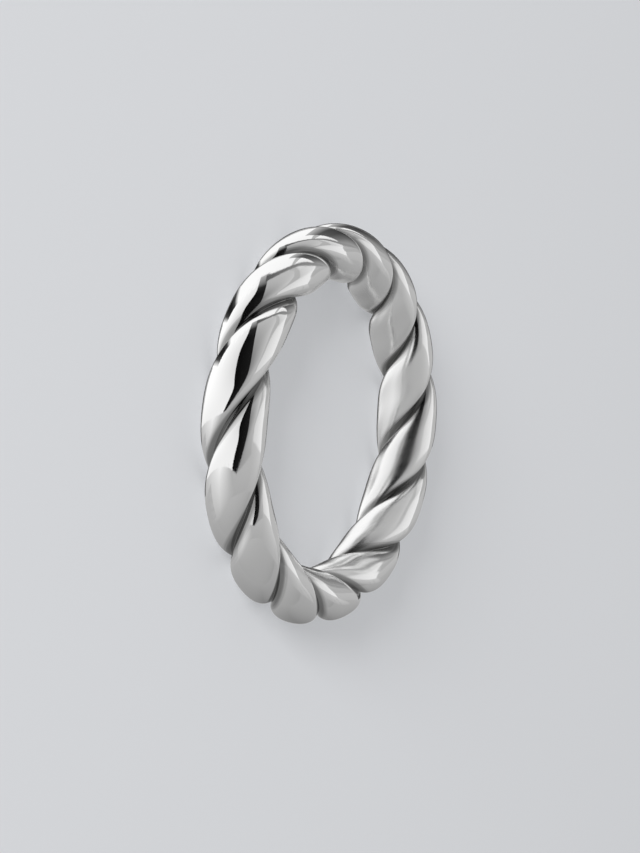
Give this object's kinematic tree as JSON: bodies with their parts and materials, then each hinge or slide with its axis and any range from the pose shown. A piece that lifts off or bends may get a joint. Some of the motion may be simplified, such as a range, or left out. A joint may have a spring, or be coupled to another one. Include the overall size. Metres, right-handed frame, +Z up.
{
  "type": "rope twist ring",
  "caption": "Finger ring formed by two thick polished strands twisted together like rope and joined into one closed band.",
  "frame": {"origin": "on the ring's axis, in the plane that the ring lies on", "axes": "+Z up along the finger hole's axis; the ring lies on its side, and -Y faces the side seen nearest in the picture"},
  "size_m": [0.0242, 0.0241, 0.0039],
  "materials": {
    "polished_silver": "mirror polished sterling silver"
  },
  "bodies": {
    "root": {"twist_band": "polished_silver"}
  },
  "joints": []
}
